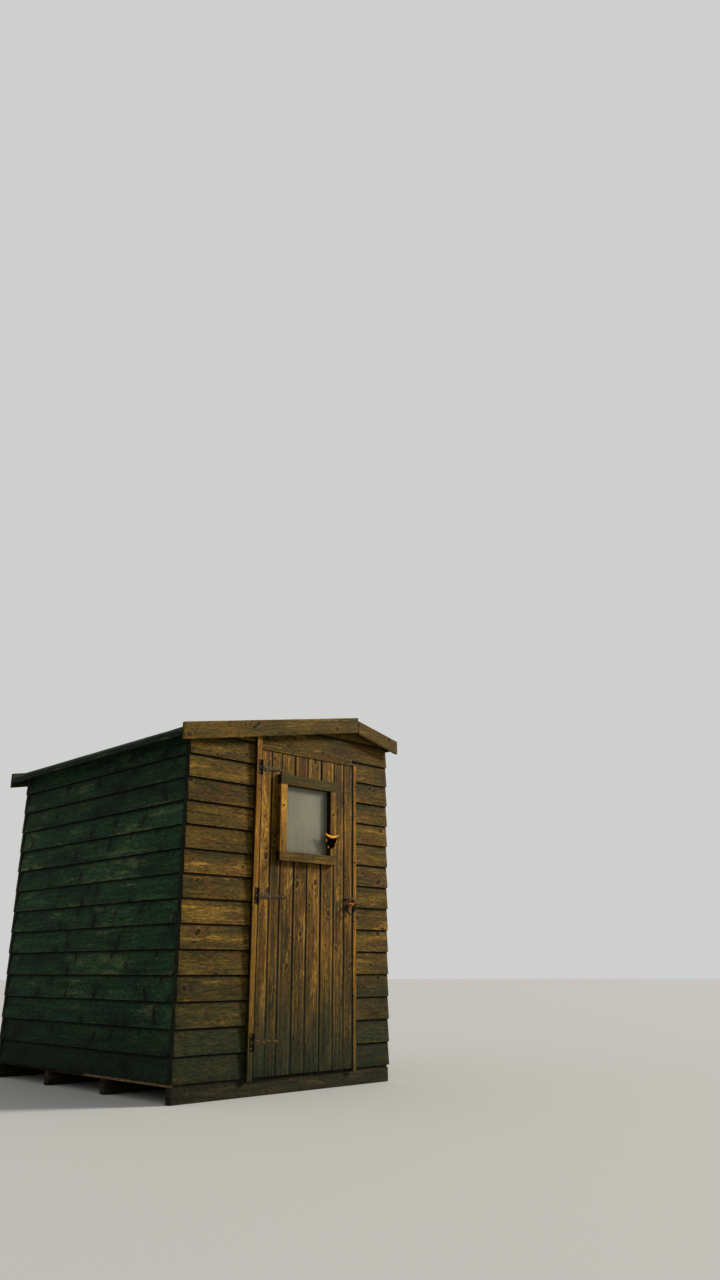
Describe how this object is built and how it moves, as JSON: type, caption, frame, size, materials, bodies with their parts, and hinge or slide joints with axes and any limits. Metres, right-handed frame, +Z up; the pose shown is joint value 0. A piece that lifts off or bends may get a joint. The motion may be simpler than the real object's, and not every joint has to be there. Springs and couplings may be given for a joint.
{
  "type": "garden shed",
  "caption": "Small garden shed with lapped board walls, an offset-ridge felt roof, bargeboards and a hinged board door with a framed window pane.",
  "frame": {"origin": "on the ground, under the middle of the roof's plan", "axes": "+Z up, +X to the right along the front wall, the front with the door faces -Y"},
  "size_m": [1.661, 2.01, 2.1037],
  "materials": {
    "side_boards": "worn green stain",
    "front_boards": "worn green-brown stain",
    "door_boards": "worn stain, strong grain",
    "trim": "worn stain",
    "bargeboards": "worn stain",
    "bare_timber": "sawn, unstained",
    "base_timber": "damp, dark",
    "roof_felt": "mineral surfaced",
    "glass": "dusty, obscured",
    "iron": "black, rusting",
    "rusty_iron": "rusted orange",
    "catch_metal": "black plate, worn lever"
  },
  "bodies": {
    "root": {"base_bearers": "base_timber", "floor": "bare_timber", "front_wall_left": "front_boards", "front_wall_right": "front_boards", "front_wall_over_door": "front_boards", "back_wall": "side_boards", "left_wall": "side_boards", "right_wall": "side_boards", "front_frame_left": "bare_timber", "front_frame_right": "bare_timber", "front_frame_over_door": "bare_timber", "back_wall_frame": "bare_timber", "left_wall_frame": "bare_timber", "right_wall_frame": "bare_timber", "door_post_left": "trim", "door_post_right": "trim", "roof_deck_left": "bare_timber", "roof_deck_right": "bare_timber", "roof_purlins": "bare_timber", "roof_battens_left": "bare_timber", "roof_battens_right": "bare_timber", "roof_felt_left": "roof_felt", "roof_felt_right": "roof_felt", "felt_ridge_cap": "roof_felt", "eave_lath_left": "trim", "eave_lath_right": "trim", "bargeboard_front_left": "bargeboards", "bargeboard_front_right": "bargeboards", "bargeboard_back_left": "bargeboards", "bargeboard_back_right": "bargeboards", "hinge_plates": "iron", "latch_keep": "iron"},
    "door": {"door_boards": "door_boards", "door_ledges": "bare_timber", "window_frame_left": "trim", "window_frame_right": "trim", "window_frame_top": "trim", "window_frame_bottom": "trim", "window_glass": "glass", "glazing_beads": "bare_timber", "hinge_straps": "iron", "door_latch": "iron", "latch_knob": "rusty_iron", "latch_ring": "iron", "window_catch": "catch_metal"}
  },
  "joints": [
    {"name": "door_hinge", "type": "hinge", "parent": "root", "child": "door", "pos_m": [-0.263, -0.975, 0.999], "axis": [0, 0, -1], "range_deg": [0, 110]}
  ]
}
